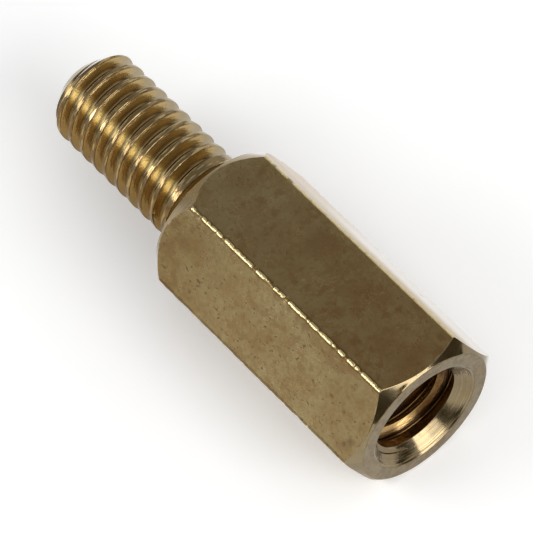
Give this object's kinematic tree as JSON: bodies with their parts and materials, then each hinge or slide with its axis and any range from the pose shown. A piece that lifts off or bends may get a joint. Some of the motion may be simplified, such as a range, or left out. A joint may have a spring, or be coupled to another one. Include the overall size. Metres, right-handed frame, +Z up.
{
  "type": "male-female hex standoff",
  "caption": "Brass hex standoff: a hexagonal spacer body with a threaded stud at one end and a tapped blind hole at the other, lying on one flat.",
  "frame": {"origin": "under the middle of the part, on the surface that its lowest flat lies on", "axes": "+X along the standoff's axis, out of the tapped hole; -X out of the stud; +Z up, square to the flat that it lies on"},
  "size_m": [0.02, 0.0072, 0.0062],
  "materials": {
    "brass": "satin"
  },
  "bodies": {
    "root": {"standoff": "brass"}
  },
  "joints": []
}
